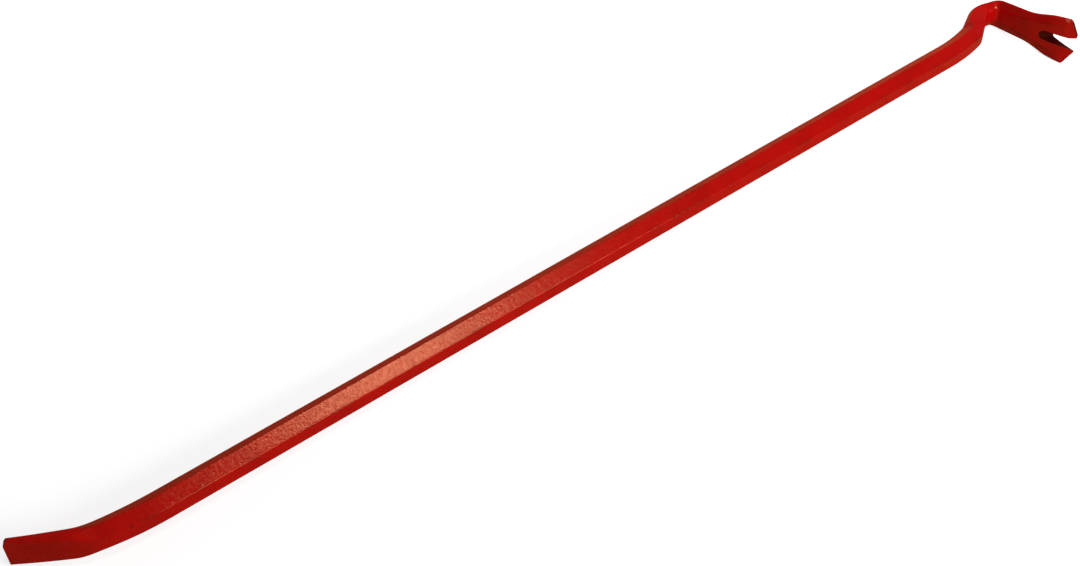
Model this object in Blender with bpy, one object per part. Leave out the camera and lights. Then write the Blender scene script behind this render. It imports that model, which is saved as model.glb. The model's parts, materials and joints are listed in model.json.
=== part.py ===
"""Gooseneck crowbar, forged in one piece from a hexagon bar.

The bar is drawn in its own forging frame: X runs along the straight shank from
the chisel end to the claw end, XY is the plane that both ends are bent in, and
the ridges of the hexagon point along Z, so its flats face along Y. The finished
bar is then laid down the way it settles on a floor.
"""

import math

import bmesh
import bpy
import numpy as np
from mathutils import Matrix, Vector
from mathutils.geometry import intersect_point_tri

MM = 0.001

# Hexagon bar stock
ACROSS_FLATS = 18.0 * MM
SHANK_LENGTH = 724.6 * MM
ARRIS_RADIUS = 1.0 * MM

# Chisel end: a long heel curve, a tight bend where the drawn-out blade starts, and an almost straight lip
HEEL_RADIUS = 243.0 * MM
HEEL_ANGLE = math.radians(9.9)
HEEL_THICKNESS = 16.5 * MM
BLADE_RADIUS = 56.4 * MM
BLADE_ANGLE = math.radians(17.5)
BLADE_THICKNESS = 11.5 * MM
BLADE_WIDTH = 22.6 * MM
BLADE_FLAT = 18.8 * MM
BLADE_OUTER_FLAT = 14.1 * MM
BLADE_SIDE = 4.1 * MM
LIP_LENGTH = 40.2 * MM
LIP_CURL = math.radians(4.3)
CHISEL_EDGE = 3.4 * MM
CHISEL_WIDTH = 24.2 * MM
CHISEL_CORNER_RADIUS = 2.0 * MM

# Neck: the shank swings out and its top and bottom flatten into broad faces before the crown turns back
LEAD_RADIUS = 165.0 * MM
LEAD_ANGLE = math.radians(13.4)
NECK_RADIUS = 17.4 * MM
NECK_ANGLE = math.radians(17.6)
NECK_LENGTH = 21.2 * MM
NECK_THICKNESS = 17.2 * MM
NECK_WIDTH = 20.8 * MM
NECK_FLAT = 19.4 * MM
NECK_OUTER_FLAT = 7.7 * MM
NECK_SIDE = 0.6 * MM
NECK_LEAN = 5.1 * MM

# Crown: two tight bends with a short straight between them
CROWN_RADIUS = 14.7 * MM
CROWN_ANGLE = math.radians(48.3)
CROWN_LENGTH = 4.7 * MM
CROWN_THICKNESS = 13.6 * MM
CROWN_WIDTH = 22.0 * MM
CROWN_FLAT = 17.0 * MM
CROWN_OUTER_FLAT = 11.3 * MM
CROWN_SIDE = 0.8 * MM
CROWN_LEAN = 1.1 * MM
THROAT_RADIUS = 9.3 * MM
THROAT_ANGLE = math.radians(65.1)
THROAT_THICKNESS = 6.8 * MM
THROAT_WIDTH = 27.2 * MM
THROAT_FLAT = 12.3 * MM
THROAT_SIDE = 1.0 * MM

# Claw: a flared plate that ends in two tines
PALM_LENGTH = 25.0 * MM
PALM_THICKNESS = 7.0 * MM
PALM_WIDTH = 28.8 * MM
PALM_FLAT = 16.8 * MM
PALM_SIDE = 2.1 * MM
TINE_LENGTH = 49.0 * MM
TINE_CURL = math.radians(8.8)
TINE_THICKNESS = 5.7 * MM
TINE_WIDTH = 40.8 * MM
TINE_FLAT = 26.7 * MM
TINE_SIDE = 2.8 * MM
CLAW_EDGE = 2.8 * MM
CLAW_SPREAD = 46.3 * MM
CLAW_WIDTH = 43.6 * MM
CLAW_SLANT = math.radians(28.5)
CLAW_CORNER_RADIUS = 4.0 * MM
CLAW_BEVEL_ANGLE = math.radians(10.5)
CLAW_BEVEL_EDGE = 1.4 * MM

# Nail slot between the tines: its root slopes back from the inner face, where a nail's head sits
SLOT_LENGTH = 35.5 * MM
SLOT_ROOT_RADIUS = 4.5 * MM
SLOT_SIDE_ANGLE = math.radians(1.3)
SLOT_OUTER_LENGTH = 22.0 * MM
SLOT_OUTER_ROOT_RADIUS = 0.9 * MM
SLOT_OUTER_SIDE_ANGLE = math.radians(25.0)

# Both ends are forged this much long and then trimmed to shape
TRIM_ALLOWANCE = 0.6 * MM

# Red enamel, linear colour
ENAMEL_COLOUR = (0.45, 0.012, 0.008, 1.0)
ENAMEL_ROUGHNESS = 0.38

# Mesh fineness
STATION_STEP = 3.0 * MM
STATION_TURN = math.radians(6.0)
CORNER_POINTS = 3
ARC_POINTS = 7
WALL_STEPS = 8
SHARP_ANGLE = math.radians(25.0)

# How far a cutter stands clear of what it cuts
CUTTER_CLEARANCE = 12.0 * MM

# A regular hexagon's flat and ridge-to-ridge width, and the hint of a side where it has none
HEX_FLAT = ACROSS_FLATS / math.sqrt(3.0)
HEX_RIDGE = 2.0 * HEX_FLAT
SHARP_SIDE = 0.3 * ARRIS_RADIUS


def clear_scene():
    for obj in list(bpy.data.objects):
        bpy.data.objects.remove(obj)
    for collection in list(bpy.data.collections):
        bpy.data.collections.remove(collection)


def new_collection(name):
    collection = bpy.data.collections.new(name)
    bpy.context.scene.collection.children.link(collection)
    return collection


def new_object(name, mesh, collection):
    obj = bpy.data.objects.new(name, mesh)
    collection.objects.link(obj)
    return obj


def enamel_material():
    material = bpy.data.materials.new("red_enamel")
    material.use_nodes = True
    shader = material.node_tree.nodes["Principled BSDF"]
    shader.inputs["Base Color"].default_value = ENAMEL_COLOUR
    shader.inputs["Roughness"].default_value = ENAMEL_ROUGHNESS
    shader.inputs["Metallic"].default_value = 0.0
    material.diffuse_color = ENAMEL_COLOUR
    return material


def walk(start, heading, segments):
    """Follow straights and arcs, each a (length, turn), in the bend plane.

    Returns the stations passed, as (distance, point, heading), and the distance
    at the end of each segment.
    """
    point = Vector(start)
    distance = 0.0
    stations = [(distance, point.copy(), heading)]
    ends = []
    for length, turn in segments:
        steps = max(2, math.ceil(length / STATION_STEP), math.ceil(abs(turn) / STATION_TURN))
        piece = length / steps
        bend = turn / steps
        chord = 2.0 * piece / bend * math.sin(bend / 2.0) if bend else piece
        for _ in range(steps):
            middle = heading + bend / 2.0
            point = point + chord * Vector((math.cos(middle), math.sin(middle)))
            heading += bend
            distance += piece
            stations.append((distance, point.copy(), heading))
        ends.append(distance)
    return stations, ends


def arc(radius, angle):
    return radius * abs(angle), angle


def chisel_line():
    """Centre line from the shank to the chisel edge, which bends towards +Y."""
    return walk((0.0, 0.0), math.pi, [
        arc(HEEL_RADIUS, -HEEL_ANGLE),
        arc(BLADE_RADIUS, -BLADE_ANGLE),
        (LIP_LENGTH, -LIP_CURL),
    ])


def claw_line():
    """Centre line from the shank to the tips of the tines, which end up on the -Y side."""
    return walk((SHANK_LENGTH, 0.0), 0.0, [
        arc(LEAD_RADIUS, LEAD_ANGLE),
        arc(NECK_RADIUS, NECK_ANGLE),
        (NECK_LENGTH, 0.0),
        arc(CROWN_RADIUS, -CROWN_ANGLE),
        (CROWN_LENGTH, 0.0),
        arc(THROAT_RADIUS, -THROAT_ANGLE),
        (PALM_LENGTH, 0.0),
        (TINE_LENGTH, TINE_CURL),
    ])


def flowing(places, values, at):
    """A smooth curve through the values, level at the first and never past any of them."""
    rises = np.diff(values) / np.diff(places)
    slopes = np.zeros(len(values))
    for i in range(1, len(rises)):
        if rises[i - 1] * rises[i] > 0.0:
            slopes[i] = 2.0 * rises[i - 1] * rises[i] / (rises[i - 1] + rises[i])
    slopes[-1] = rises[-1]
    i = min(max(int(np.searchsorted(places, at)) - 1, 0), len(rises) - 1)
    span = places[i + 1] - places[i]
    t = min(max((at - places[i]) / span, 0.0), 1.0)
    leaving = (1.0 + 2.0 * t) * values[i] + t * span * slopes[i]
    arriving = (3.0 - 2.0 * t) * values[i + 1] - (1.0 - t) * span * slopes[i + 1]
    return float((1.0 - t) ** 2 * leaving + t ** 2 * arriving)


def softened(corners, radius):
    """Round the corners of a convex outline, each with a short curve."""
    outline = []
    for i, corner in enumerate(corners):
        before = corners[i - 1] - corner
        after = corners[(i + 1) % len(corners)] - corner
        turn = math.pi - before.angle(after)
        reach = min(radius * math.tan(turn / 2.0), 0.45 * before.length, 0.45 * after.length)
        first = corner + before.normalized() * reach
        last = corner + after.normalized() * reach
        for k in range(CORNER_POINTS):
            t = k / (CORNER_POINTS - 1)
            outline.append((1.0 - t) ** 2 * first + 2.0 * t * (1.0 - t) * corner + t ** 2 * last)
    return outline


def section(thickness, width, inner_flat, outer_flat, side, lean):
    """Outline of the bar, as (towards the outside of the bend, along Z).

    The two broad faces lie thickness apart, each with a flat width of its own; the
    ridges beside them lie width apart and are side wide, which is next to nothing
    on a hexagon. A lean moves the ridges towards the outside of the bend.
    """
    t, w, s = thickness / 2.0, width / 2.0, side / 2.0
    inner, outer = inner_flat / 2.0, outer_flat / 2.0
    upper = [(t, outer), (lean + s, w), (lean - s, w), (-t, inner)]
    corners = upper + [(across, -along) for across, along in reversed(upper)]
    return softened([Vector(corner) for corner in corners], ARRIS_RADIUS)


def forged_rings(stations, side, places, sizes):
    """Section rings along a centre line, from sizes given at a few places along it.

    Each outline starts on the left of the line where side is 1, and on its right where it is -1.
    """
    rings = []
    for distance, point, heading in stations:
        outline = section(*(flowing(places, values, distance) for values in zip(*sizes)))
        across = side * Vector((-math.sin(heading), math.cos(heading)))
        rings.append([(point.x + p.x * across.x, point.y + p.x * across.y, p.y) for p in outline])
    return rings


def chisel_rings():
    stations, (heel, blade, tip) = chisel_line()
    edge_flat = CHISEL_WIDTH - CHISEL_EDGE / 2.0
    return forged_rings(stations, -1.0, [0.0, heel, blade, tip], [
        (ACROSS_FLATS, HEX_RIDGE, HEX_FLAT, HEX_FLAT, SHARP_SIDE, 0.0),
        (HEEL_THICKNESS, HEX_RIDGE, HEX_FLAT, HEX_FLAT, SHARP_SIDE, 0.0),
        (BLADE_THICKNESS, BLADE_WIDTH, BLADE_FLAT, BLADE_OUTER_FLAT, BLADE_SIDE, 0.0),
        (CHISEL_EDGE, CHISEL_WIDTH, edge_flat, edge_flat, CHISEL_EDGE / 2.0, 0.0),
    ])


def claw_rings():
    stations, ends = claw_line()
    lead, neck_start, neck_end, crown, _, throat, palm, tip = ends
    places = [0.0, lead, (neck_start + neck_end) / 2.0, crown, throat, palm, (palm + tip) / 2.0, tip]
    edge_flat = CLAW_SPREAD - CLAW_EDGE
    return forged_rings(stations, 1.0, places, [
        (ACROSS_FLATS, HEX_RIDGE, HEX_FLAT, HEX_FLAT, SHARP_SIDE, 0.0),
        (ACROSS_FLATS, HEX_RIDGE, HEX_FLAT, HEX_FLAT, SHARP_SIDE, 0.0),
        (NECK_THICKNESS, NECK_WIDTH, NECK_FLAT, NECK_OUTER_FLAT, NECK_SIDE, NECK_LEAN),
        (CROWN_THICKNESS, CROWN_WIDTH, CROWN_FLAT, CROWN_OUTER_FLAT, CROWN_SIDE, CROWN_LEAN),
        (THROAT_THICKNESS, THROAT_WIDTH, THROAT_FLAT, THROAT_FLAT, THROAT_SIDE, 0.0),
        (PALM_THICKNESS, PALM_WIDTH, PALM_FLAT, PALM_FLAT, PALM_SIDE, 0.0),
        (TINE_THICKNESS, TINE_WIDTH, TINE_FLAT, TINE_FLAT, TINE_SIDE, 0.0),
        (CLAW_EDGE, CLAW_SPREAD, edge_flat, edge_flat, CLAW_EDGE / 2.0, 0.0),
    ])


def loft(name, rings):
    """Close a body over rings of equal point count."""
    shape = bmesh.new()
    loops = [[shape.verts.new(point) for point in ring] for ring in rings]
    for near, far in zip(loops, loops[1:]):
        for i in range(len(near)):
            shape.faces.new((near[i - 1], near[i], far[i], far[i - 1]))
    shape.faces.new(loops[0])
    shape.faces.new(loops[-1])
    bmesh.ops.recalc_face_normals(shape, faces=shape.faces)
    return finished_mesh(name, shape)


def finished_mesh(name, shape):
    """Mesh of a finished shape, shaded smooth but for its edges."""
    mesh = bpy.data.meshes.new(name)
    shape.to_mesh(mesh)
    shape.free()
    mesh.shade_smooth()
    mesh.set_sharp_from_angle(angle=SHARP_ANGLE)
    return mesh


def end_frame(stations, curl):
    """Frame on a trimmed end: X on past it, Y across the thickness, Z across the width."""
    _, point, heading = stations[-1]
    back = Vector((math.cos(heading), math.sin(heading))) * TRIM_ALLOWANCE
    place = Matrix.Translation((point.x - back.x, point.y - back.y, 0.0))
    return place @ Matrix.Rotation(heading - curl / 2.0, 4, "Z")


def cut(target, name, mesh, frame, collection):
    """Cut a body away with a mesh drawn in a frame of its own."""
    cutter = new_object(name, mesh, collection)
    cutter.matrix_world = frame
    cutter.hide_render = True
    cutter.display_type = "WIRE"
    modifier = target.modifiers.new(name, "BOOLEAN")
    modifier.operation = "DIFFERENCE"
    modifier.solver = "EXACT"
    modifier.object = cutter


def prism(name, outline):
    """Body with one (x, z) outline all through the thickness of an end."""
    return loft(name, [[(x, y, z) for x, z in outline] for y in (-CUTTER_CLEARANCE, CUTTER_CLEARANCE)])


def beyond_end(width, slant, radius):
    """All that lies past an end whose two halves slant back and whose corners are round."""
    half = width / 2.0
    reach = half + CUTTER_CLEARANCE
    back = half * math.tan(slant) + radius / math.tan((math.pi / 2.0 + slant) / 2.0)
    upper = [(-back, reach)]
    for k in range(ARC_POINTS):
        angle = math.pi / 2.0 + (slant - math.pi / 2.0) * k / (ARC_POINTS - 1)
        upper.append((-back + radius * math.cos(angle), half - radius + radius * math.sin(angle)))
    lower = [(x, -z) for x, z in reversed(upper)]
    return upper + [(0.0, 0.0)] + lower + [(CUTTER_CLEARANCE, -reach), (CUTTER_CLEARANCE, reach)]


def slot_outline(length, radius, side_angle):
    """A slot from its round root to past the tips, its sides opening out evenly."""
    centre = radius - length
    first = math.pi / 2.0 + side_angle
    sweep = 2.0 * (math.pi - first)
    outline = []
    for k in range(ARC_POINTS):
        angle = first + sweep * k / (ARC_POINTS - 1)
        outline.append((centre + radius * math.cos(angle), radius * math.sin(angle)))
    start, height = outline[0]
    lower = []
    for k in range(1, WALL_STEPS + 1):
        along = (CUTTER_CLEARANCE - start) * k / WALL_STEPS
        lower.append((start + along, -height - along * math.tan(side_angle)))
    return outline + lower + [(x, -z) for x, z in reversed(lower)]


def slot_mesh():
    """The nail slot, straight-sided beyond each face of the palm and sloping between them."""
    inner = slot_outline(SLOT_LENGTH, SLOT_ROOT_RADIUS, SLOT_SIDE_ANGLE)
    outer = slot_outline(SLOT_OUTER_LENGTH, SLOT_OUTER_ROOT_RADIUS, SLOT_OUTER_SIDE_ANGLE)
    face = PALM_THICKNESS / 2.0
    levels = [(-CUTTER_CLEARANCE, inner), (-face, inner), (face, outer), (CUTTER_CLEARANCE, outer)]
    return loft("slot", [[(x, y, z) for x, z in outline] for y, outline in levels])


def bevel_mesh(side):
    """A block whose near face is the ground bevel of one tine, at its angle to the tine's inner face."""
    edge = Vector((-math.sin(CLAW_SLANT), 0.0, side * math.cos(CLAW_SLANT)))
    outward = Vector((math.cos(CLAW_SLANT), 0.0, side * math.sin(CLAW_SLANT)))
    thin = Vector((0.0, -1.0, 0.0))
    normal = outward * math.sin(CLAW_BEVEL_ANGLE) + thin * math.cos(CLAW_BEVEL_ANGLE)
    along = normal.cross(edge)
    corner = Vector((0.0, CLAW_EDGE / 2.0 - CLAW_BEVEL_EDGE, 0.0))
    middle = corner + (edge * CLAW_WIDTH + normal * CUTTER_CLEARANCE) / 2.0
    turn = Matrix((along, edge, normal)).transposed().to_4x4()
    size = Matrix.Diagonal((CLAW_WIDTH, CLAW_WIDTH, CUTTER_CLEARANCE, 1.0))
    face_tilt = TINE_CURL / 2.0 + math.atan((TINE_THICKNESS - CLAW_EDGE) / TINE_LENGTH)
    tilt = Matrix.Rotation(face_tilt, 4, "Z")
    shape = bmesh.new()
    bmesh.ops.create_cube(shape, size=1.0, matrix=tilt @ Matrix.Translation(middle) @ turn @ size)
    bmesh.ops.recalc_face_normals(shape, faces=shape.faces)
    return finished_mesh("bevel", shape)


def build_bar(parts, cutters):
    mesh = loft("forged_bar", list(reversed(chisel_rings())) + claw_rings())
    bar = new_object("forged_bar", mesh, parts)
    bar.data.materials.append(enamel_material())
    chisel_end = end_frame(chisel_line()[0], -LIP_CURL)
    claw_end = end_frame(claw_line()[0], TINE_CURL)
    chisel_outline = beyond_end(CHISEL_WIDTH, 0.0, CHISEL_CORNER_RADIUS)
    claw_outline = beyond_end(CLAW_WIDTH, CLAW_SLANT, CLAW_CORNER_RADIUS)
    cut(bar, "chisel_trim", prism("chisel_trim", chisel_outline), chisel_end, cutters)
    cut(bar, "claw_trim", prism("claw_trim", claw_outline), claw_end, cutters)
    cut(bar, "nail_slot", slot_mesh(), claw_end, cutters)
    cut(bar, "upper_bevel", bevel_mesh(1.0), claw_end, cutters)
    cut(bar, "lower_bevel", bevel_mesh(-1.0), claw_end, cutters)
    return bar


def mass_centre(mesh):
    """Centre of a closed body, from the tetrahedra between its triangles and the origin."""
    mesh.calc_loop_triangles()
    volume = 0.0
    moment = Vector()
    for triangle in mesh.loop_triangles:
        a, b, c = (mesh.vertices[i].co for i in triangle.vertices)
        piece = a.dot(b.cross(c)) / 6.0
        volume += piece
        moment += piece * (a + b + c) / 4.0
    return moment / volume


def resting_turn(mesh):
    """Turn that stands the body on the hull face that carries its centre of mass, shank along X."""
    centre = mass_centre(mesh)
    hull = bmesh.new()
    for vert in mesh.vertices:
        hull.verts.new(vert.co)
    bmesh.ops.convex_hull(hull, input=hull.verts)
    bmesh.ops.triangulate(hull, faces=hull.faces)
    seats = []
    for face in hull.faces:
        corners = [vert.co for vert in face.verts]
        if intersect_point_tri(centre, *corners) is not None:
            seats.append(face.normal.copy())
    hull.free()
    seat = min(seats, key=lambda normal: normal.z)
    tilt = seat.rotation_difference(Vector((0.0, 0.0, -1.0))).to_matrix()
    shank = tilt @ Vector((1.0, 0.0, 0.0))
    return Matrix.Rotation(-math.atan2(shank.y, shank.x), 3, "Z") @ tilt


def lay_down(bar, parts, cutters):
    """Lay the bar on the floor, with the origin under the middle of its bounding box."""
    depsgraph = bpy.context.evaluated_depsgraph_get()
    finished = bpy.data.meshes.new_from_object(bar.evaluated_get(depsgraph))
    turn = resting_turn(finished)
    points = np.array([turn @ vert.co for vert in finished.vertices])
    low, high = points.min(axis=0), points.max(axis=0)
    bpy.data.meshes.remove(finished)
    place = Matrix.Translation((-(low[0] + high[0]) / 2.0, -(low[1] + high[1]) / 2.0, -low[2]))
    stand = bpy.data.objects.new("crowbar_stand", None)
    parts.objects.link(stand)
    for obj in [bar, *cutters.objects]:
        obj.parent = stand
    stand.matrix_world = place @ turn.to_4x4()
    print("overall size, mm:", [round(float(size) / MM, 1) for size in high - low])


def main():
    clear_scene()
    parts = new_collection("crowbar")
    cutters = new_collection("cutters")
    bar = build_bar(parts, cutters)
    bpy.context.view_layer.update()
    lay_down(bar, parts, cutters)


main()
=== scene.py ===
import json
import math

import bmesh
import bpy
from mathutils import Matrix, Vector


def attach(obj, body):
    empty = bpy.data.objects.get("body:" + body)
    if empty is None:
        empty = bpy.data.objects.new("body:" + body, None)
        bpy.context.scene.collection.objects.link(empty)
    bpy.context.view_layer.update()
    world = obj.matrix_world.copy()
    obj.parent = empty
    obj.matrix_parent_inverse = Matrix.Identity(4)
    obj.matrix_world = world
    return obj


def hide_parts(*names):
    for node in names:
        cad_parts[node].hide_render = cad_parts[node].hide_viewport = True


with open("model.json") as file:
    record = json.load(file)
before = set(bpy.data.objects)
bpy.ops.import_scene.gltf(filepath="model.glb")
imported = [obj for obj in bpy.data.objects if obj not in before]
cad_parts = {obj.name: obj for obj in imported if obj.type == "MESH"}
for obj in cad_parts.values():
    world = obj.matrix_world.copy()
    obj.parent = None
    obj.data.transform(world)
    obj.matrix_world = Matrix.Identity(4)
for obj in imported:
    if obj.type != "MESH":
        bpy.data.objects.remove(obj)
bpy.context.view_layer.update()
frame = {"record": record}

mm = 0.001


# The bar is drawn in the forge's own directions: X along the shank from chisel to claw,
# Y across the flats towards the crown, Z out of the plane that both ends are bent in.
# Each section below holds these sizes in this order, all in mm. Angles are in degrees.
sectionSizes = ("Thickness", "Width", "Inner Flat", "Outer Flat", "Side", "Lean", "Arris")

shank = {
    "length": 724.6 * mm,
    "section": (18.0, 20.785, 10.392, 10.392, 0.3, 0.0, 0.75),
}

chisel = {
    "heelRadius": 243.0 * mm,
    "heelAngle": 9.9,
    "bladeRadius": 56.4 * mm,
    "bladeAngle": 17.5,
    "lipLength": 40.2 * mm,
    "lipCurl": 4.3,
    "heelSection": (16.5, 20.785, 10.392, 10.392, 0.3, 0.0, 0.8),
    "bladeSection": (11.5, 22.6, 18.8, 14.1, 4.1, 0.0, 1.0),
    "edgeSection": (3.4, 24.2, 22.5, 22.5, 1.7, 0.0, 0.7),
    "upperCorner": 6.0 * mm,    # worn rounder than the lower one
    "lowerCorner": 1.2 * mm,
}

claw = {
    "leadRadius": 165.0 * mm,
    "leadAngle": 13.4,
    "neckRadius": 17.4 * mm,
    "neckAngle": 17.6,
    "neckLength": 21.2 * mm,
    "crownRadius": 14.7 * mm,
    "crownAngle": 48.3,
    "crownLength": 4.7 * mm,
    "throatRadius": 9.3 * mm,
    "throatAngle": 65.1,
    "palmLength": 25.0 * mm,
    "tineLength": 49.0 * mm,
    "tineCurl": 8.8,
    "neckSection": (17.2, 20.8, 19.4, 7.7, 0.6, 5.1, 2.6),
    "crownSection": (13.6, 22.0, 17.0, 11.3, 0.8, 1.1, 4.0),
    "throatSection": (6.8, 27.2, 12.3, 12.3, 1.0, 0.0, 2.0),
    "palmSection": (7.0, 28.8, 16.8, 16.8, 2.1, 0.0, 1.1),
    "tineSection": (5.7, 40.8, 26.7, 26.7, 2.8, 0.0, 1.0),
    "edgeSection": (2.8, 46.3, 43.5, 43.5, 1.4, 0.0, 0.5),
    "edgeWidth": 43.6 * mm,     # the tips are trimmed to it, inside their section's width
    "slant": 28.5,
    "outerCorner": 4.0 * mm,
    "innerCorner": 1.0 * mm,
}

groundBevel = {"angle": 10.5, "edge": 1.4 * mm}     # edge is the steel left at the very tip

# the slot's outline on the inner face of the claw and the one on its outer face
nailSlot = {
    "inner": {"length": 35.5 * mm, "root": 4.5 * mm, "side": 1.3},
    "outer": {"length": 22.0 * mm, "root": 0.9 * mm, "side": 25.0},
    "faces": 7.0 * mm,          # how far apart the two outlines lie
    "tips": 7.0 * mm,           # this near the end a cut may be a tine's own
    "wallSteps": 10,
}

barMesh = {
    "step": 2.0 * mm,
    "turn": 2.5,
    "cornerPoints": 5,
    "arcPoints": 15,
    "trim": 0.6 * mm,           # cut off each end
    "cutterReach": 12.0 * mm,
    "rim": 0.55 * mm,           # rounds the edges that the cutters leave
    "rimAngle": 34.0,
    "rimSegments": 3,
    "cornerRoom": 0.45,         # the share of a flat that one rounded corner may take
    "inset": 0.03 * mm,         # keeps it within the part's own outer size
    "unevenness": 0.10 * mm,
    "waves": 32.0,              # of the uneven surface, for each metre
}


def forgeMatrix():
    # the mounts on the shank's flats say where the forge's directions lie
    mount = {m["name"]: Vector(m["pos_m"]) for m in frame["record"]["mounts"]}
    along = (mount["shank_flat_claw_end"] - mount["shank_flat"]).normalized()
    across = mount["shank_flat_back"] - mount["shank_flat"]
    across = (across - across.dot(along) * along).normalized()
    middle = (mount["shank_flat"] + mount["shank_flat_back"]) / 2.0
    start = middle - along * shank["length"] / 2.0
    turn = Matrix((along, across, along.cross(across))).transposed().to_4x4()
    return Matrix.Translation(start) @ turn


def arc(radius, degrees):
    return radius * abs(math.radians(degrees)), math.radians(degrees)


def walkLine(start, heading, segments):
    # stations are (distance, point, heading); ends are the distances where the segments stop
    point, distance = Vector(start), 0.0
    stations, ends = [(distance, point.copy(), heading)], [0.0]
    for length, turn in segments:
        turns = math.ceil(abs(turn) / math.radians(barMesh["turn"]))
        steps = max(2, math.ceil(length / barMesh["step"]), turns)
        piece, bend = length / steps, turn / steps
        chord = 2.0 * piece / bend * math.sin(bend / 2.0) if bend else piece
        for _ in range(steps):
            middle = heading + bend / 2.0
            point = point + chord * Vector((math.cos(middle), math.sin(middle)))
            heading += bend
            distance += piece
            stations.append((distance, point.copy(), heading))
        ends.append(distance)
    return stations, ends


def chiselLine():
    return walkLine((0.0, 0.0), math.pi, [
        arc(chisel["heelRadius"], -chisel["heelAngle"]),
        arc(chisel["bladeRadius"], -chisel["bladeAngle"]),
        (chisel["lipLength"], -math.radians(chisel["lipCurl"])),
    ])


def clawLine():
    return walkLine((shank["length"], 0.0), 0.0, [
        arc(claw["leadRadius"], claw["leadAngle"]),
        arc(claw["neckRadius"], claw["neckAngle"]),
        (claw["neckLength"], 0.0),
        arc(claw["crownRadius"], -claw["crownAngle"]),
        (claw["crownLength"], 0.0),
        arc(claw["throatRadius"], -claw["throatAngle"]),
        (claw["palmLength"], 0.0),
        (claw["tineLength"], math.radians(claw["tineCurl"])),
    ])


def flowing(places, values, at):
    # a smooth curve through the values that is level at the first and overshoots none
    rises = [(b - a) / (q - p) for a, b, p, q in zip(values, values[1:], places, places[1:])]
    slopes = [0.0]
    for before, after in zip(rises, rises[1:]):
        slopes.append(2.0 * before * after / (before + after) if before * after > 0.0 else 0.0)
    slopes.append(rises[-1])
    i = 0
    while i < len(rises) - 1 and at > places[i + 1]:
        i += 1
    span = places[i + 1] - places[i]
    t = min(max((at - places[i]) / span, 0.0), 1.0)
    leaving = (1.0 + 2.0 * t) * values[i] + t * span * slopes[i]
    arriving = (3.0 - 2.0 * t) * values[i + 1] - (1.0 - t) * span * slopes[i + 1]
    return (1.0 - t) ** 2 * leaving + t ** 2 * arriving


def sizedStations(stations, places, sections):
    # each station as (point, heading, section in metres)
    sized = []
    for distance, point, heading in stations:
        section = [flowing(places, values, distance) * mm for values in zip(*sections)]
        sized.append((point, heading, section))
    return sized


def guideLine():
    # one line from the chisel's edge to the tines' tips, with the section's sizes stored on its points
    stations, ends = chiselLine()
    chiselSections = [shank["section"], chisel["heelSection"], chisel["bladeSection"], chisel["edgeSection"]]
    towardsChisel = sizedStations(stations, ends, chiselSections)
    stations, ends = clawLine()
    middles = [(ends[2] + ends[3]) / 2.0, (ends[7] + ends[8]) / 2.0]
    places = [ends[0], ends[1], middles[0], ends[4], ends[6], ends[7], middles[1], ends[8]]
    clawSections = [shank["section"], shank["section"]]
    clawSections += [claw[name + "Section"] for name in ("neck", "crown", "throat", "palm", "tine", "edge")]
    towardsClaw = sizedStations(stations, places, clawSections)

    count = math.ceil(shank["length"] / (2.0 * barMesh["step"]))
    between = []
    for i in range(1, count):
        point = Vector((shank["length"] * i / count, 0.0))
        between.append((point, 0.0, [size * mm for size in shank["section"]]))
    turned = [(point, heading - math.pi, section) for point, heading, section in reversed(towardsChisel)]
    line = turned + between + towardsClaw

    mesh = bpy.data.meshes.new("barGuide")
    mesh.from_pydata([(p.x, p.y, 0.0) for p, _, _ in line], [(i, i + 1) for i in range(len(line) - 1)], [])
    columns = {"heading": [heading for _, heading, _ in line]}
    for i, name in enumerate(sectionSizes):
        columns[name] = [section[i] for _, _, section in line]
    for name, values in columns.items():
        mesh.attributes.new(name, "FLOAT", "POINT").data.foreach_set("value", values)
    return mesh


def newGroup(name, kind, inputs, outputs):
    tree = bpy.data.node_groups.new(name, kind)
    for label, socket, value in inputs:
        item = tree.interface.new_socket(name=label, in_out="INPUT", socket_type=socket)
        if value is not None:
            item.default_value = value
    for label, socket in outputs:
        tree.interface.new_socket(name=label, in_out="OUTPUT", socket_type=socket)
    return tree, tree.nodes.new("NodeGroupInput"), tree.nodes.new("NodeGroupOutput")


def addNode(tree, kind, inputs=None, **settings):
    # inputs is a socket's place or name with its value, or with the socket that it is linked to
    node = tree.nodes.new(kind)
    for name, value in settings.items():
        setattr(node, name, value)
    for key, value in (inputs or {}).items():
        if isinstance(value, bpy.types.NodeSocket):
            tree.links.new(value, node.inputs[key])
        else:
            node.inputs[key].default_value = value
    return node


def doMath(tree, operation, a, b=0.0, c=0.0):
    return addNode(tree, "ShaderNodeMath", {0: a, 1: b, 2: c}, operation=operation).outputs[0]


def vectorMath(tree, operation, a, b=(0.0, 0.0, 0.0)):
    node = addNode(tree, "ShaderNodeVectorMath", {0: a, 1: b}, operation=operation)
    return node.outputs["Value" if operation == "LENGTH" else "Vector"]


def scaled(tree, vector, factor):
    node = addNode(tree, "ShaderNodeVectorMath", {0: vector, "Scale": factor}, operation="SCALE")
    return node.outputs["Vector"]


def named(tree, name, kind="FLOAT"):
    node = addNode(tree, "GeometryNodeInputNamedAttribute", {"Name": name}, data_type=kind)
    return node.outputs["Attribute"]


def noise(tree, vector, scale, detail):
    inputs = {"Vector": vector, "Scale": scale, "Detail": detail}
    return addNode(tree, "ShaderNodeTexNoise", inputs).outputs["Fac"]


def mapped(tree, value, span, result=(0.0, 1.0)):
    # the value's span is stretched to the result's
    return addNode(tree, "ShaderNodeMapRange", {
        "Value": value, "From Min": span[0], "From Max": span[1], "To Min": result[0], "To Max": result[1],
    }).outputs[0]


def groupNode(tree, group, inputs):
    kind = "GeometryNodeGroup" if tree.bl_idname == "GeometryNodeTree" else "ShaderNodeGroup"
    return addNode(tree, kind, inputs, node_tree=group)


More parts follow.
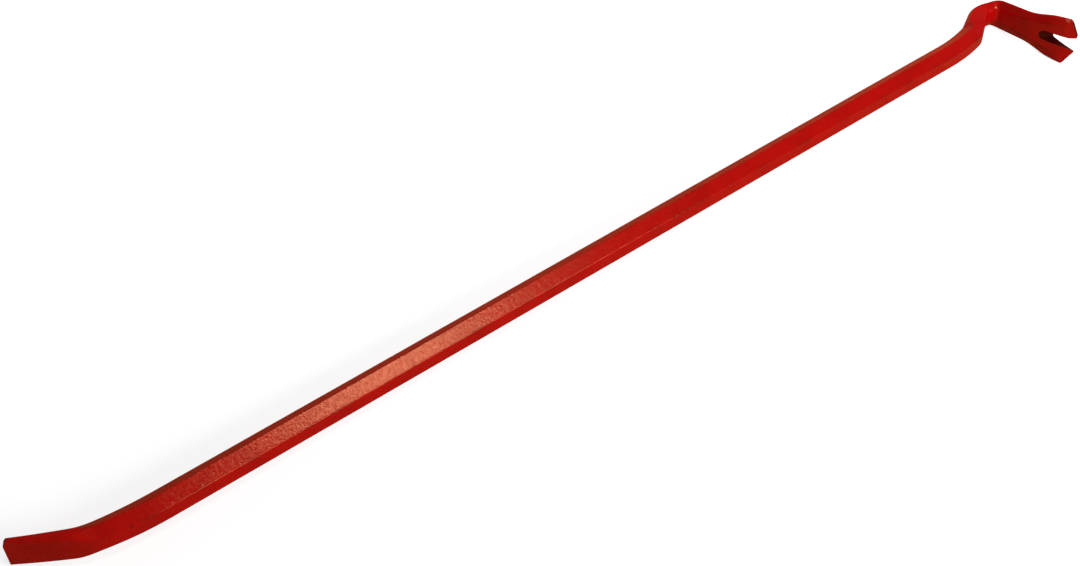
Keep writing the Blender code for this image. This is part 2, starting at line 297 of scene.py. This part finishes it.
def cornerGroup():
    # where one of the section's eight corners lies: X towards the outside of the bend, Y along the width
    inputs = [("Corner", "NodeSocketFloat", 0.0)]
    inputs += [(name, "NodeSocketFloat", 0.01) for name in sectionSizes[:6]]
    tree, given, made = newGroup(
        "Section Corner", "GeometryNodeTree", inputs, [("Position", "NodeSocketVector")])
    size = given.outputs
    corner = doMath(tree, "WRAP", size["Corner"], 8.0, 0.0)
    quarter = doMath(tree, "MODULO", corner, 4.0)
    onFace = doMath(tree, "ABSOLUTE", doMath(tree, "SUBTRACT", quarter, 1.5))
    onFace = doMath(tree, "GREATER_THAN", onFace, 1.0)
    onSide = doMath(tree, "SUBTRACT", 1.0, onFace)
    away = doMath(tree, "ABSOLUTE", doMath(tree, "SUBTRACT", corner, 3.5))
    outside = doMath(tree, "GREATER_THAN", away, 2.0)
    inside = doMath(tree, "SUBTRACT", 1.0, outside)
    flat = doMath(tree, "MULTIPLY", size["Inner Flat"], inside)
    flat = doMath(tree, "MULTIPLY_ADD", size["Outer Flat"], outside, flat)
    across = doMath(tree, "MULTIPLY", size["Thickness"], onFace)
    across = doMath(tree, "MULTIPLY_ADD", size["Side"], onSide, across)
    across = doMath(tree, "MULTIPLY", across, doMath(tree, "SUBTRACT", outside, 0.5))
    across = doMath(tree, "MULTIPLY_ADD", size["Lean"], onSide, across)
    along = doMath(tree, "MULTIPLY", flat, onFace)
    along = doMath(tree, "MULTIPLY_ADD", size["Width"], onSide, along)
    upper = doMath(tree, "LESS_THAN", corner, 3.5)
    along = doMath(tree, "MULTIPLY", along, doMath(tree, "SUBTRACT", upper, 0.5))
    position = addNode(tree, "ShaderNodeCombineXYZ", {"X": across, "Y": along})
    tree.links.new(position.outputs[0], made.inputs["Position"])
    return tree


def outlineGroup(cornerTree):
    # a point of the section's outline, whose corners are each rounded by a short curve
    inputs = [("Point", "NodeSocketFloat", 0.0), ("Corner Points", "NodeSocketFloat", 5.0)]
    inputs += [(name, "NodeSocketFloat", 0.01) for name in sectionSizes]
    tree, given, made = newGroup(
        "Section Outline", "GeometryNodeTree", inputs,
        [("Position", "NodeSocketVector"), ("Ridge", "NodeSocketFloat")])
    number, points = given.outputs["Point"], given.outputs["Corner Points"]
    corner = doMath(tree, "FLOOR", doMath(tree, "DIVIDE", doMath(tree, "ADD", number, 0.001), points))
    place = doMath(tree, "ROUND", doMath(tree, "MODULO", number, points))
    t = doMath(tree, "DIVIDE", place, doMath(tree, "SUBTRACT", points, 1.0))

    found = []
    for step in (-1.0, 0.0, 1.0):
        sizes = {name: given.outputs[name] for name in sectionSizes[:6]}
        sizes["Corner"] = doMath(tree, "ADD", corner, step)
        found.append(groupNode(tree, cornerTree, sizes))
    before, here, after = [node.outputs["Position"] for node in found]
    setback = given.outputs["Arris"]
    reaches = []
    for other in (before, after):
        edge = vectorMath(tree, "SUBTRACT", other, here)
        room = doMath(tree, "MULTIPLY", vectorMath(tree, "LENGTH", edge), barMesh["cornerRoom"])
        setback = doMath(tree, "MINIMUM", setback, room)
        reaches.append(vectorMath(tree, "NORMALIZE", edge))
    rest = doMath(tree, "SUBTRACT", 1.0, t)
    back = scaled(tree, reaches[0], doMath(tree, "MULTIPLY", setback, doMath(tree, "MULTIPLY", rest, rest)))
    ahead = scaled(tree, reaches[1], doMath(tree, "MULTIPLY", setback, doMath(tree, "MULTIPLY", t, t)))
    point = vectorMath(tree, "ADD", here, vectorMath(tree, "ADD", back, ahead))
    ridge = doMath(tree, "MULTIPLY", doMath(tree, "MULTIPLY", rest, t), 4.0)
    tree.links.new(point, made.inputs["Position"])
    tree.links.new(ridge, made.inputs["Ridge"])
    return tree


def forgedBarGroup(outline, cutters):
    # sweeps the section along the guide line, then trims the ends and cuts the nail slot
    tree, given, made = newGroup(
        "Forged Bar", "GeometryNodeTree",
        [("Guide", "NodeSocketGeometry", None), ("Corner Points", "NodeSocketInt", 5),
         ("Inset", "NodeSocketFloat", 0.0), ("Unevenness", "NodeSocketFloat", 0.0001),
         ("Material", "NodeSocketMaterial", None)]
        + [(cutter.name, "NodeSocketObject", None) for cutter in cutters],
        [("Bar", "NodeSocketGeometry")])
    count = doMath(tree, "MULTIPLY", given.outputs["Corner Points"], 8.0)
    circle = addNode(tree, "GeometryNodeMeshCircle", {"Vertices": count, "Radius": 0.0001})
    numbered = addNode(tree, "GeometryNodeStoreNamedAttribute", {
        "Geometry": circle.outputs[0],
        "Name": "outlinePoint",
        "Value": addNode(tree, "GeometryNodeInputIndex").outputs[0],
    }, data_type="FLOAT", domain="POINT")
    profile = addNode(tree, "GeometryNodeMeshToCurve", {"Mesh": numbered.outputs[0]})
    guide = addNode(tree, "GeometryNodeMeshToCurve", {"Mesh": given.outputs["Guide"]})
    centred = addNode(tree, "GeometryNodeStoreNamedAttribute", {
        "Geometry": guide.outputs[0],
        "Name": "centre",
        "Value": addNode(tree, "GeometryNodeInputPosition").outputs[0],
    }, data_type="FLOAT_VECTOR", domain="POINT")
    swept = addNode(tree, "GeometryNodeCurveToMesh", {
        "Curve": centred.outputs[0],
        "Profile Curve": profile.outputs[0],
        "Fill Caps": True,
    })
    inputs = {"Point": named(tree, "outlinePoint"), "Corner Points": given.outputs["Corner Points"]}
    inputs.update({name: named(tree, name) for name in sectionSizes})
    section = groupNode(tree, outline, inputs)
    offset = addNode(tree, "ShaderNodeSeparateXYZ", {0: section.outputs["Position"]})
    heading = named(tree, "heading")
    across = addNode(tree, "ShaderNodeCombineXYZ", {
        "X": doMath(tree, "MULTIPLY", doMath(tree, "SINE", heading), -1.0),
        "Y": doMath(tree, "COSINE", heading),
    })
    sideways = scaled(tree, across.outputs[0], offset.outputs["X"])
    upright = addNode(tree, "ShaderNodeCombineXYZ", {"Z": offset.outputs["Y"]})
    outward = vectorMath(tree, "ADD", sideways, upright.outputs[0])
    point = vectorMath(tree, "ADD", named(tree, "centre", "FLOAT_VECTOR"), outward)
    # the forge leaves the surface a little uneven, always inwards of the full size
    waves = noise(tree, point, barMesh["waves"], 1.0)
    depth = doMath(tree, "MULTIPLY_ADD", waves, given.outputs["Unevenness"], given.outputs["Inset"])
    dented = vectorMath(tree, "SUBTRACT", point, scaled(tree, vectorMath(tree, "NORMALIZE", outward), depth))
    placed = addNode(tree, "GeometryNodeSetPosition", {"Geometry": swept.outputs[0], "Position": dented})
    ridged = addNode(tree, "GeometryNodeStoreNamedAttribute", {
        "Geometry": placed.outputs[0],
        "Name": "ridge",
        "Value": section.outputs["Ridge"],
    }, data_type="FLOAT", domain="POINT")
    shape = ridged.outputs[0]
    for cutter in cutters:
        info = addNode(tree, "GeometryNodeObjectInfo", {"Object": given.outputs[cutter.name]})
        cut = addNode(tree, "GeometryNodeMeshBoolean", {
            "Mesh 1": shape,
            "Mesh 2": info.outputs["Geometry"],
        }, operation="DIFFERENCE", solver="EXACT")
        shape = cut.outputs["Mesh"]
    real = addNode(tree, "GeometryNodeRealizeInstances", {"Geometry": shape})
    smooth = addNode(tree, "GeometryNodeSetShadeSmooth", {"Geometry": real.outputs[0], "Shade Smooth": True})
    painted = addNode(tree, "GeometryNodeSetMaterial", {
        "Geometry": smooth.outputs[0],
        "Material": given.outputs["Material"],
    })
    tree.links.new(painted.outputs[0], made.inputs["Bar"])
    return tree


def roundedPath(corners):
    # corners are (x, z, radius); a corner with a radius becomes an arc
    path = []
    for i, (x, z, radius) in enumerate(corners):
        here = Vector((x, z))
        if radius == 0.0:
            path.append((x, z))
            continue
        before = (Vector(corners[i - 1][:2]) - here).normalized()
        after = (Vector(corners[(i + 1) % len(corners)][:2]) - here).normalized()
        half = before.angle(after) / 2.0
        centre = here + (before + after).normalized() * radius / math.sin(half)
        first = here + before * radius / math.tan(half) - centre
        last = here + after * radius / math.tan(half) - centre
        sweep = first.angle_signed(last)
        for k in range(barMesh["arcPoints"]):
            spoke = Matrix.Rotation(-sweep * k / (barMesh["arcPoints"] - 1), 2) @ first
            path.append(tuple(centre + spoke))
    return path


def closedLoft(name, rings):
    shape = bmesh.new()
    loops = [[shape.verts.new(point) for point in ring] for ring in rings]
    for near, far in zip(loops, loops[1:]):
        for i in range(len(near)):
            shape.faces.new((near[i - 1], near[i], far[i], far[i - 1]))
    shape.faces.new(loops[0])
    shape.faces.new(loops[-1])
    return finishedMesh(name, shape)


def finishedMesh(name, shape):
    bmesh.ops.recalc_face_normals(shape, faces=shape.faces)
    mesh = bpy.data.meshes.new(name)
    shape.to_mesh(mesh)
    shape.free()
    return mesh


def endFrame(stations, curl):
    # X on past the end, Y across the thickness, Z across the width
    _, point, heading = stations[-1]
    back = Vector((math.cos(heading), math.sin(heading))) * barMesh["trim"]
    place = Matrix.Translation((point.x - back.x, point.y - back.y, 0.0))
    return place @ Matrix.Rotation(heading - curl / 2.0, 4, "Z")


def chiselEndMesh():
    # Z in the end's frame is up in the forge's, so the first corner is the upper one
    half, reach = chisel["edgeSection"][1] * mm / 2.0, barMesh["cutterReach"]
    upper, lower = chisel["upperCorner"], chisel["lowerCorner"]
    outline = roundedPath([
        (-upper, half + reach, 0.0), (-upper, half, 0.0), (0.0, half, upper),
        (0.0, -half, lower), (-lower, -half, 0.0), (-lower, -half - reach, 0.0),
        (reach, -half - reach, 0.0), (reach, half + reach, 0.0),
    ])
    return closedLoft("chiselEnd", [[(x, y, z) for x, z in outline] for y in (-reach, reach)])


def spread(start, end, steps):
    # the points that divide a straight into equal steps, without its ends
    start, end = Vector(start), Vector(end)
    return [tuple(start.lerp(end, k / steps)) for k in range(1, steps)]


def clawEndOutline(slot):
    # slanted ends with round outer corners, and the slot from its round root to the tips
    half, reach = claw["edgeWidth"] / 2.0, barMesh["cutterReach"]
    slant, side, root = math.radians(claw["slant"]), math.radians(slot["side"]), slot["root"]
    centre = root - slot["length"]
    outer = -half * math.tan(slant)
    inner = (root / math.cos(side) - centre * math.tan(side)) / (1.0 + math.tan(slant) * math.tan(side))
    upper = [
        (outer - claw["outerCorner"], half + reach, 0.0), (outer - claw["outerCorner"], half, 0.0),
        (outer, half, claw["outerCorner"]), (-inner * math.tan(slant), inner, claw["innerCorner"]),
    ]
    lower = [(x, -z, radius) for x, z, radius in reversed(upper)]
    path = roundedPath(upper + [(centre - root, 0.0, 0.0)] + lower
                       + [(reach, -half - reach, 0.0), (reach, half + reach, 0.0)])
    tip = path.index((centre - root, 0.0))
    first = math.pi / 2.0 + side
    sweep = 2.0 * (math.pi - first)
    rounding = []
    for k in range(barMesh["arcPoints"]):
        angle = first + sweep * k / (barMesh["arcPoints"] - 1)
        rounding.append((centre + root * math.cos(angle), root * math.sin(angle)))
    steps = nailSlot["wallSteps"]
    inward = spread(path[tip - 1], rounding[0], steps)
    outward = spread(rounding[-1], path[tip + 1], steps)
    return path[:tip] + inward + rounding + outward + path[tip + 1:]


def clawEndMesh():
    # the slot's root slopes back from the inner face of the claw, where the nail's head sits
    reach, half = barMesh["cutterReach"], nailSlot["faces"] / 2.0
    inner, outer = clawEndOutline(nailSlot["inner"]), clawEndOutline(nailSlot["outer"])
    levels = ((-reach, inner), (-half, inner), (half, outer), (reach, outer))
    mesh = closedLoft("clawEnd", [[(x, y, z) for x, z in outline] for y, outline in levels])
    # the cut faces keep this mark, by which the paint knows the slot's walls and darkens them with painted
    # shade
    walls = []
    for face in mesh.polygons:
        nearMiddle = abs(face.center.z) < claw["edgeWidth"] / 3.0
        isWall = abs(face.normal.z) > 0.7 or face.center.x < -nailSlot["tips"]
        walls.append(float(nearMiddle and isWall))
    mesh.attributes.new("slotWall", "FLOAT", "FACE").data.foreach_set("value", walls)
    return mesh


def tineBevelMesh(name, side):
    # a block whose near face is the ground bevel of one tine, at its angle to the tine's inner face
    slant, tilt = math.radians(claw["slant"]), math.radians(groundBevel["angle"])
    edge = Vector((-math.sin(slant), 0.0, side * math.cos(slant)))
    outward = Vector((math.cos(slant), 0.0, side * math.sin(slant)))
    normal = outward * math.sin(tilt) + Vector((0.0, -math.cos(tilt), 0.0))
    width, reach = claw["edgeWidth"], barMesh["cutterReach"]
    corner = Vector((0.0, claw["edgeSection"][0] * mm / 2.0 - groundBevel["edge"], 0.0))
    middle = corner + (edge * width + normal * reach) / 2.0
    turn = Matrix((normal.cross(edge), edge, normal)).transposed().to_4x4()
    size = Matrix.Diagonal((width, width, reach, 1.0))
    taper = (claw["tineSection"][0] - claw["edgeSection"][0]) * mm / claw["tineLength"]
    faceTilt = Matrix.Rotation(math.radians(claw["tineCurl"]) / 2.0 + math.atan(taper), 4, "Z")
    shape = bmesh.new()
    bmesh.ops.create_cube(shape, size=1.0, matrix=faceTilt @ Matrix.Translation(middle) @ turn @ size)
    return finishedMesh(name, shape)


def placedCutter(mesh, place):
    mesh.transform(place)
    cutter = bpy.data.objects.new(mesh.name, mesh)
    bpy.context.scene.collection.objects.link(cutter)
    return cutter


def makeBar(material):
    chiselEnd = endFrame(chiselLine()[0], -math.radians(chisel["lipCurl"]))
    clawEnd = endFrame(clawLine()[0], math.radians(claw["tineCurl"]))
    cutters = [
        placedCutter(chiselEndMesh(), chiselEnd),
        placedCutter(clawEndMesh(), clawEnd),
        placedCutter(tineBevelMesh("upperTineBevel", 1.0), clawEnd),
        placedCutter(tineBevelMesh("lowerTineBevel", -1.0), clawEnd),
    ]
    guide = bpy.data.objects.new("barGuide", guideLine())
    bpy.context.scene.collection.objects.link(guide)
    tree = forgedBarGroup(outlineGroup(cornerGroup()), cutters)
    items = tree.interface.items_tree
    sockets = {item.name: item.identifier for item in items if item.in_out == "INPUT"}
    nodes = guide.modifiers.new("forgedBar", "NODES")
    nodes.node_group = tree
    nodes[sockets["Corner Points"]] = barMesh["cornerPoints"]
    nodes[sockets["Inset"]] = barMesh["inset"]
    nodes[sockets["Unevenness"]] = barMesh["unevenness"]
    nodes[sockets["Material"]] = material
    for cutter in cutters:
        nodes[sockets[cutter.name]] = cutter
    rim = guide.modifiers.new("rim", "BEVEL")
    rim.width = barMesh["rim"]
    rim.segments = barMesh["rimSegments"]
    rim.limit_method = "ANGLE"
    rim.angle_limit = math.radians(barMesh["rimAngle"])
    rim.use_clamp_overlap = True
    weighted = guide.modifiers.new("weighted", "WEIGHTED_NORMAL")
    weighted.keep_sharp = False
    mesh = bpy.data.meshes.new_from_object(guide.evaluated_get(bpy.context.evaluated_depsgraph_get()))
    mesh.name = "crowbar"
    guide.modifiers.clear()
    for spare in [guide] + cutters:
        bpy.data.objects.remove(spare)
    mesh.transform(forgeMatrix())
    bar = bpy.data.objects.new("crowbar", mesh)
    bpy.context.scene.collection.objects.link(bar)
    print("bar:", len(mesh.vertices), "vertices,", len(mesh.polygons), "faces")
    return bar


enamel = {
    "red": (0.50, 0.0022, 0.0020, 1.0),
    "deepRed": (0.43, 0.0018, 0.0016, 1.0),
    "ridgeShadeRed": (0.22, 0.006, 0.003, 1.0),       # painted shade, a darker red in patches along the sharp ridges
    "slotShadeRed": (0.055, 0.0006, 0.0005, 1.0),    # painted shadow on the nail slot's walls, which lie in the upper tine's shade
    "roughness": (0.13, 0.27),
    "specular": 0.5,
    "glareTint": (1.0, 0.52, 0.27, 1.0),
    "peelSize": 2.2 * mm,                       # of the enamel's orange peel
    "peelHeight": 0.12 * mm,
    "peelRange": (0.3, 0.7),
    "clouds": 60.0,                             # of deeper red, for each metre
    "cloudRange": (0.35, 0.7),
    "patchRange": (0.45, 0.65),
}

# colour, then the place and the radius in mm of each spot, in the part's own directions
marks = {
    "darkFleck": ((0.30, 0.0025, 0.002, 1.0), [
        ((0.3931, 0.0100, 0.0214), 1.5),
        ((-0.3895, 0.0072, 0.0218), 1.8),
        ((-0.3753, 0.0059, 0.0217), 1.5),
    ]),
    "thinOrange": ((0.46, 0.020, 0.0015, 1.0), [
        ((0.3518, 0.0051, 0.0174), 2.4),
        ((0.3560, 0.0052, 0.0190), 1.6),
    ]),
    "wornPaint": ((0.60, 0.085, 0.06, 1.0), [
        ((0.4524, -0.0313, 0.0420), 2.2),
        ((-0.3306, 0.0100, 0.0239), 0.7),
        ((-0.3404, 0.0069, 0.0226), 0.7),
        ((-0.3616, 0.0071, 0.0227), 0.7),
    ]),
}

spotEdge = {"rags": 700.0, "fade": (1.1, 0.5)}      # rags for each metre; fade in shares of the radius


def spotGroup():
    # one ragged spot around a place
    inputs = [
        ("Vector", "NodeSocketVector", None),
        ("Place", "NodeSocketVector", None),
        ("Radius", "NodeSocketFloat", mm),
    ]
    tree, given, made = newGroup("Paint Spot", "ShaderNodeTree", inputs, [("Mask", "NodeSocketFloat")])
    here = given.outputs["Vector"]
    ragged = noise(tree, here, spotEdge["rags"], 2.0)
    away = vectorMath(tree, "LENGTH", vectorMath(tree, "SUBTRACT", here, given.outputs["Place"]))
    share = doMath(tree, "DIVIDE", away, given.outputs["Radius"])
    share = doMath(tree, "ADD", share, doMath(tree, "SUBTRACT", ragged, 0.5))
    tree.links.new(mapped(tree, share, spotEdge["fade"]), made.inputs["Mask"])
    return tree


def mixColour(tree, factor, first, second):
    # 6 and 7 are the two colours of the node, and output 2 is the mixed one
    node = addNode(tree, "ShaderNodeMix", {"Factor": factor, 6: first, 7: second}, data_type="RGBA")
    return node.outputs[2]


def enamelMaterial():
    material = bpy.data.materials.new("redEnamel")
    material.use_nodes = True
    tree = material.node_tree
    shader = tree.nodes["Principled BSDF"]
    where = addNode(tree, "ShaderNodeTexCoord").outputs["Object"]
    clouds = noise(tree, where, enamel["clouds"], 3.0)
    colour = mixColour(tree, mapped(tree, clouds, enamel["cloudRange"]), enamel["red"], enamel["deepRed"])
    ridge = addNode(tree, "ShaderNodeAttribute", attribute_name="ridge").outputs["Fac"]
    # painted shade along the sharp ridges, broken into patches by the clouds
    ridgeShading = doMath(tree, "MULTIPLY", ridge, mapped(tree, clouds, enamel["patchRange"]))
    colour = mixColour(tree, ridgeShading, colour, enamel["ridgeShadeRed"])
    # painted shadow: the slot's walls are darkened to the colour of shade
    slotWall = addNode(tree, "ShaderNodeAttribute", attribute_name="slotWall").outputs["Fac"]
    colour = mixColour(tree, slotWall, colour, enamel["slotShadeRed"])
    spot = spotGroup()
    for tint, places in marks.values():
        for place, radius in places:
            found = groupNode(tree, spot, {"Vector": where, "Place": place, "Radius": radius * mm})
            colour = mixColour(tree, found.outputs["Mask"], colour, tint)
    tree.links.new(colour, shader.inputs["Base Color"])
    shader.inputs["Specular IOR Level"].default_value = enamel["specular"]
    shader.inputs["Specular Tint"].default_value = enamel["glareTint"]
    peel = noise(tree, where, 1.0 / enamel["peelSize"], 3.0)
    roughness = mapped(tree, peel, enamel["peelRange"], enamel["roughness"])
    tree.links.new(roughness, shader.inputs["Roughness"])
    bump = addNode(tree, "ShaderNodeBump", {"Height": peel, "Distance": enamel["peelHeight"]})
    tree.links.new(bump.outputs[0], shader.inputs["Normal"])
    return material


studio = {
    "cameraPlace": (-0.51933, -0.48620, 0.83672),
    "cameraYaw": 42.1217,
    "cameraPitch": 50.4005,
    "cameraRoll": -5.1549,
    "lens": 50.063,
    "floorSize": 8.0,
    "floorTone": (0.55, 0.55, 0.55, 1.0),
    "floorInGloss": (0.30, 0.17, 0.07, 1.0),
    "floorWhite": 0.70,
    "room": 0.12,
}

# place, size, watts, the point that the lamp is turned to, and whether the paint mirrors it
lamps = {
    "softbox": ((0.315, -0.33, 1.50), (0.30, 0.45), 5.0, (0.20, -0.20, 0.0), True),
    "frontFill": ((0.35, -1.35, 0.75), (1.00, 0.60), 19.0, (0.15, 0.0, 0.0), True),
    "backFill": ((0.90, 0.85, 0.60), (0.50, 0.50), 9.0, (0.35, 0.0, 0.0), False),
}


def makeCamera():
    yaw, pitch, roll = (math.radians(studio[name]) for name in ("cameraYaw", "cameraPitch", "cameraRoll"))
    ahead = Vector((math.sin(yaw) * math.cos(pitch), math.cos(yaw) * math.cos(pitch), -math.sin(pitch)))
    right = Vector((math.cos(yaw), -math.sin(yaw), 0.0))
    down = ahead.cross(right)
    turnedRight = math.cos(roll) * right + math.sin(roll) * down
    turnedDown = math.cos(roll) * down - math.sin(roll) * right
    data = bpy.data.cameras.new("camera")
    data.lens = studio["lens"]
    camera = bpy.data.objects.new("camera", data)
    turn = Matrix((turnedRight, -turnedDown, -ahead)).transposed().to_4x4()
    camera.matrix_world = Matrix.Translation(studio["cameraPlace"]) @ turn
    bpy.context.scene.collection.objects.link(camera)
    bpy.context.scene.camera = camera


def makeFloor():
    # straight to the camera the floor is white but for the shadow; the paint mirrors less of it
    material = bpy.data.materials.new("paleFloor")
    material.use_nodes = True
    tree = material.node_tree
    shader = tree.nodes["Principled BSDF"]
    rays = addNode(tree, "ShaderNodeLightPath").outputs
    tone = mixColour(tree, rays["Is Glossy Ray"], studio["floorTone"], studio["floorInGloss"])
    tree.links.new(tone, shader.inputs["Base Color"])
    seen = doMath(tree, "MAXIMUM", rays["Is Camera Ray"], rays["Is Transmission Ray"])
    tree.links.new(doMath(tree, "MULTIPLY", seen, studio["floorWhite"]), shader.inputs["Emission Strength"])
    shader.inputs["Emission Color"].default_value = (1.0, 1.0, 1.0, 1.0)
    shader.inputs["Roughness"].default_value = 1.0
    shader.inputs["Specular IOR Level"].default_value = 0.0
    shape = bmesh.new()
    bmesh.ops.create_grid(shape, x_segments=1, y_segments=1, size=studio["floorSize"] / 2.0)
    mesh = finishedMesh("floor", shape)
    mesh.materials.append(material)
    floor = bpy.data.objects.new("floor", mesh)
    bpy.context.scene.collection.objects.link(floor)


def makeLights():
    world = bpy.data.worlds.new("room")
    world.use_nodes = True
    tree = world.node_tree
    back = tree.nodes["Background"]
    rays = addNode(tree, "ShaderNodeLightPath").outputs
    seen = doMath(tree, "MAXIMUM", rays["Is Camera Ray"], rays["Is Transmission Ray"])
    strength = doMath(tree, "MAXIMUM", seen, studio["room"])
    tree.links.new(strength, back.inputs["Strength"])
    back.inputs["Color"].default_value = (1.0, 1.0, 1.0, 1.0)
    bpy.context.scene.world = world
    for name, (place, size, watts, target, mirrored) in lamps.items():
        light = bpy.data.lights.new(name, "AREA")
        light.shape = "RECTANGLE"
        light.size, light.size_y = size
        light.energy = watts
        lamp = bpy.data.objects.new(name, light)
        away = Vector(place) - Vector(target)
        lamp.matrix_world = Matrix.Translation(place) @ away.to_track_quat("Z", "Y").to_matrix().to_4x4()
        lamp.visible_glossy = mirrored
        bpy.context.scene.collection.objects.link(lamp)


bpy.context.scene.view_settings.view_transform = "Standard"
makeCamera()
makeFloor()
makeLights()
print("studio is set")

bar = makeBar(enamelMaterial())
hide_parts("forged_bar")
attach(bar, "root")
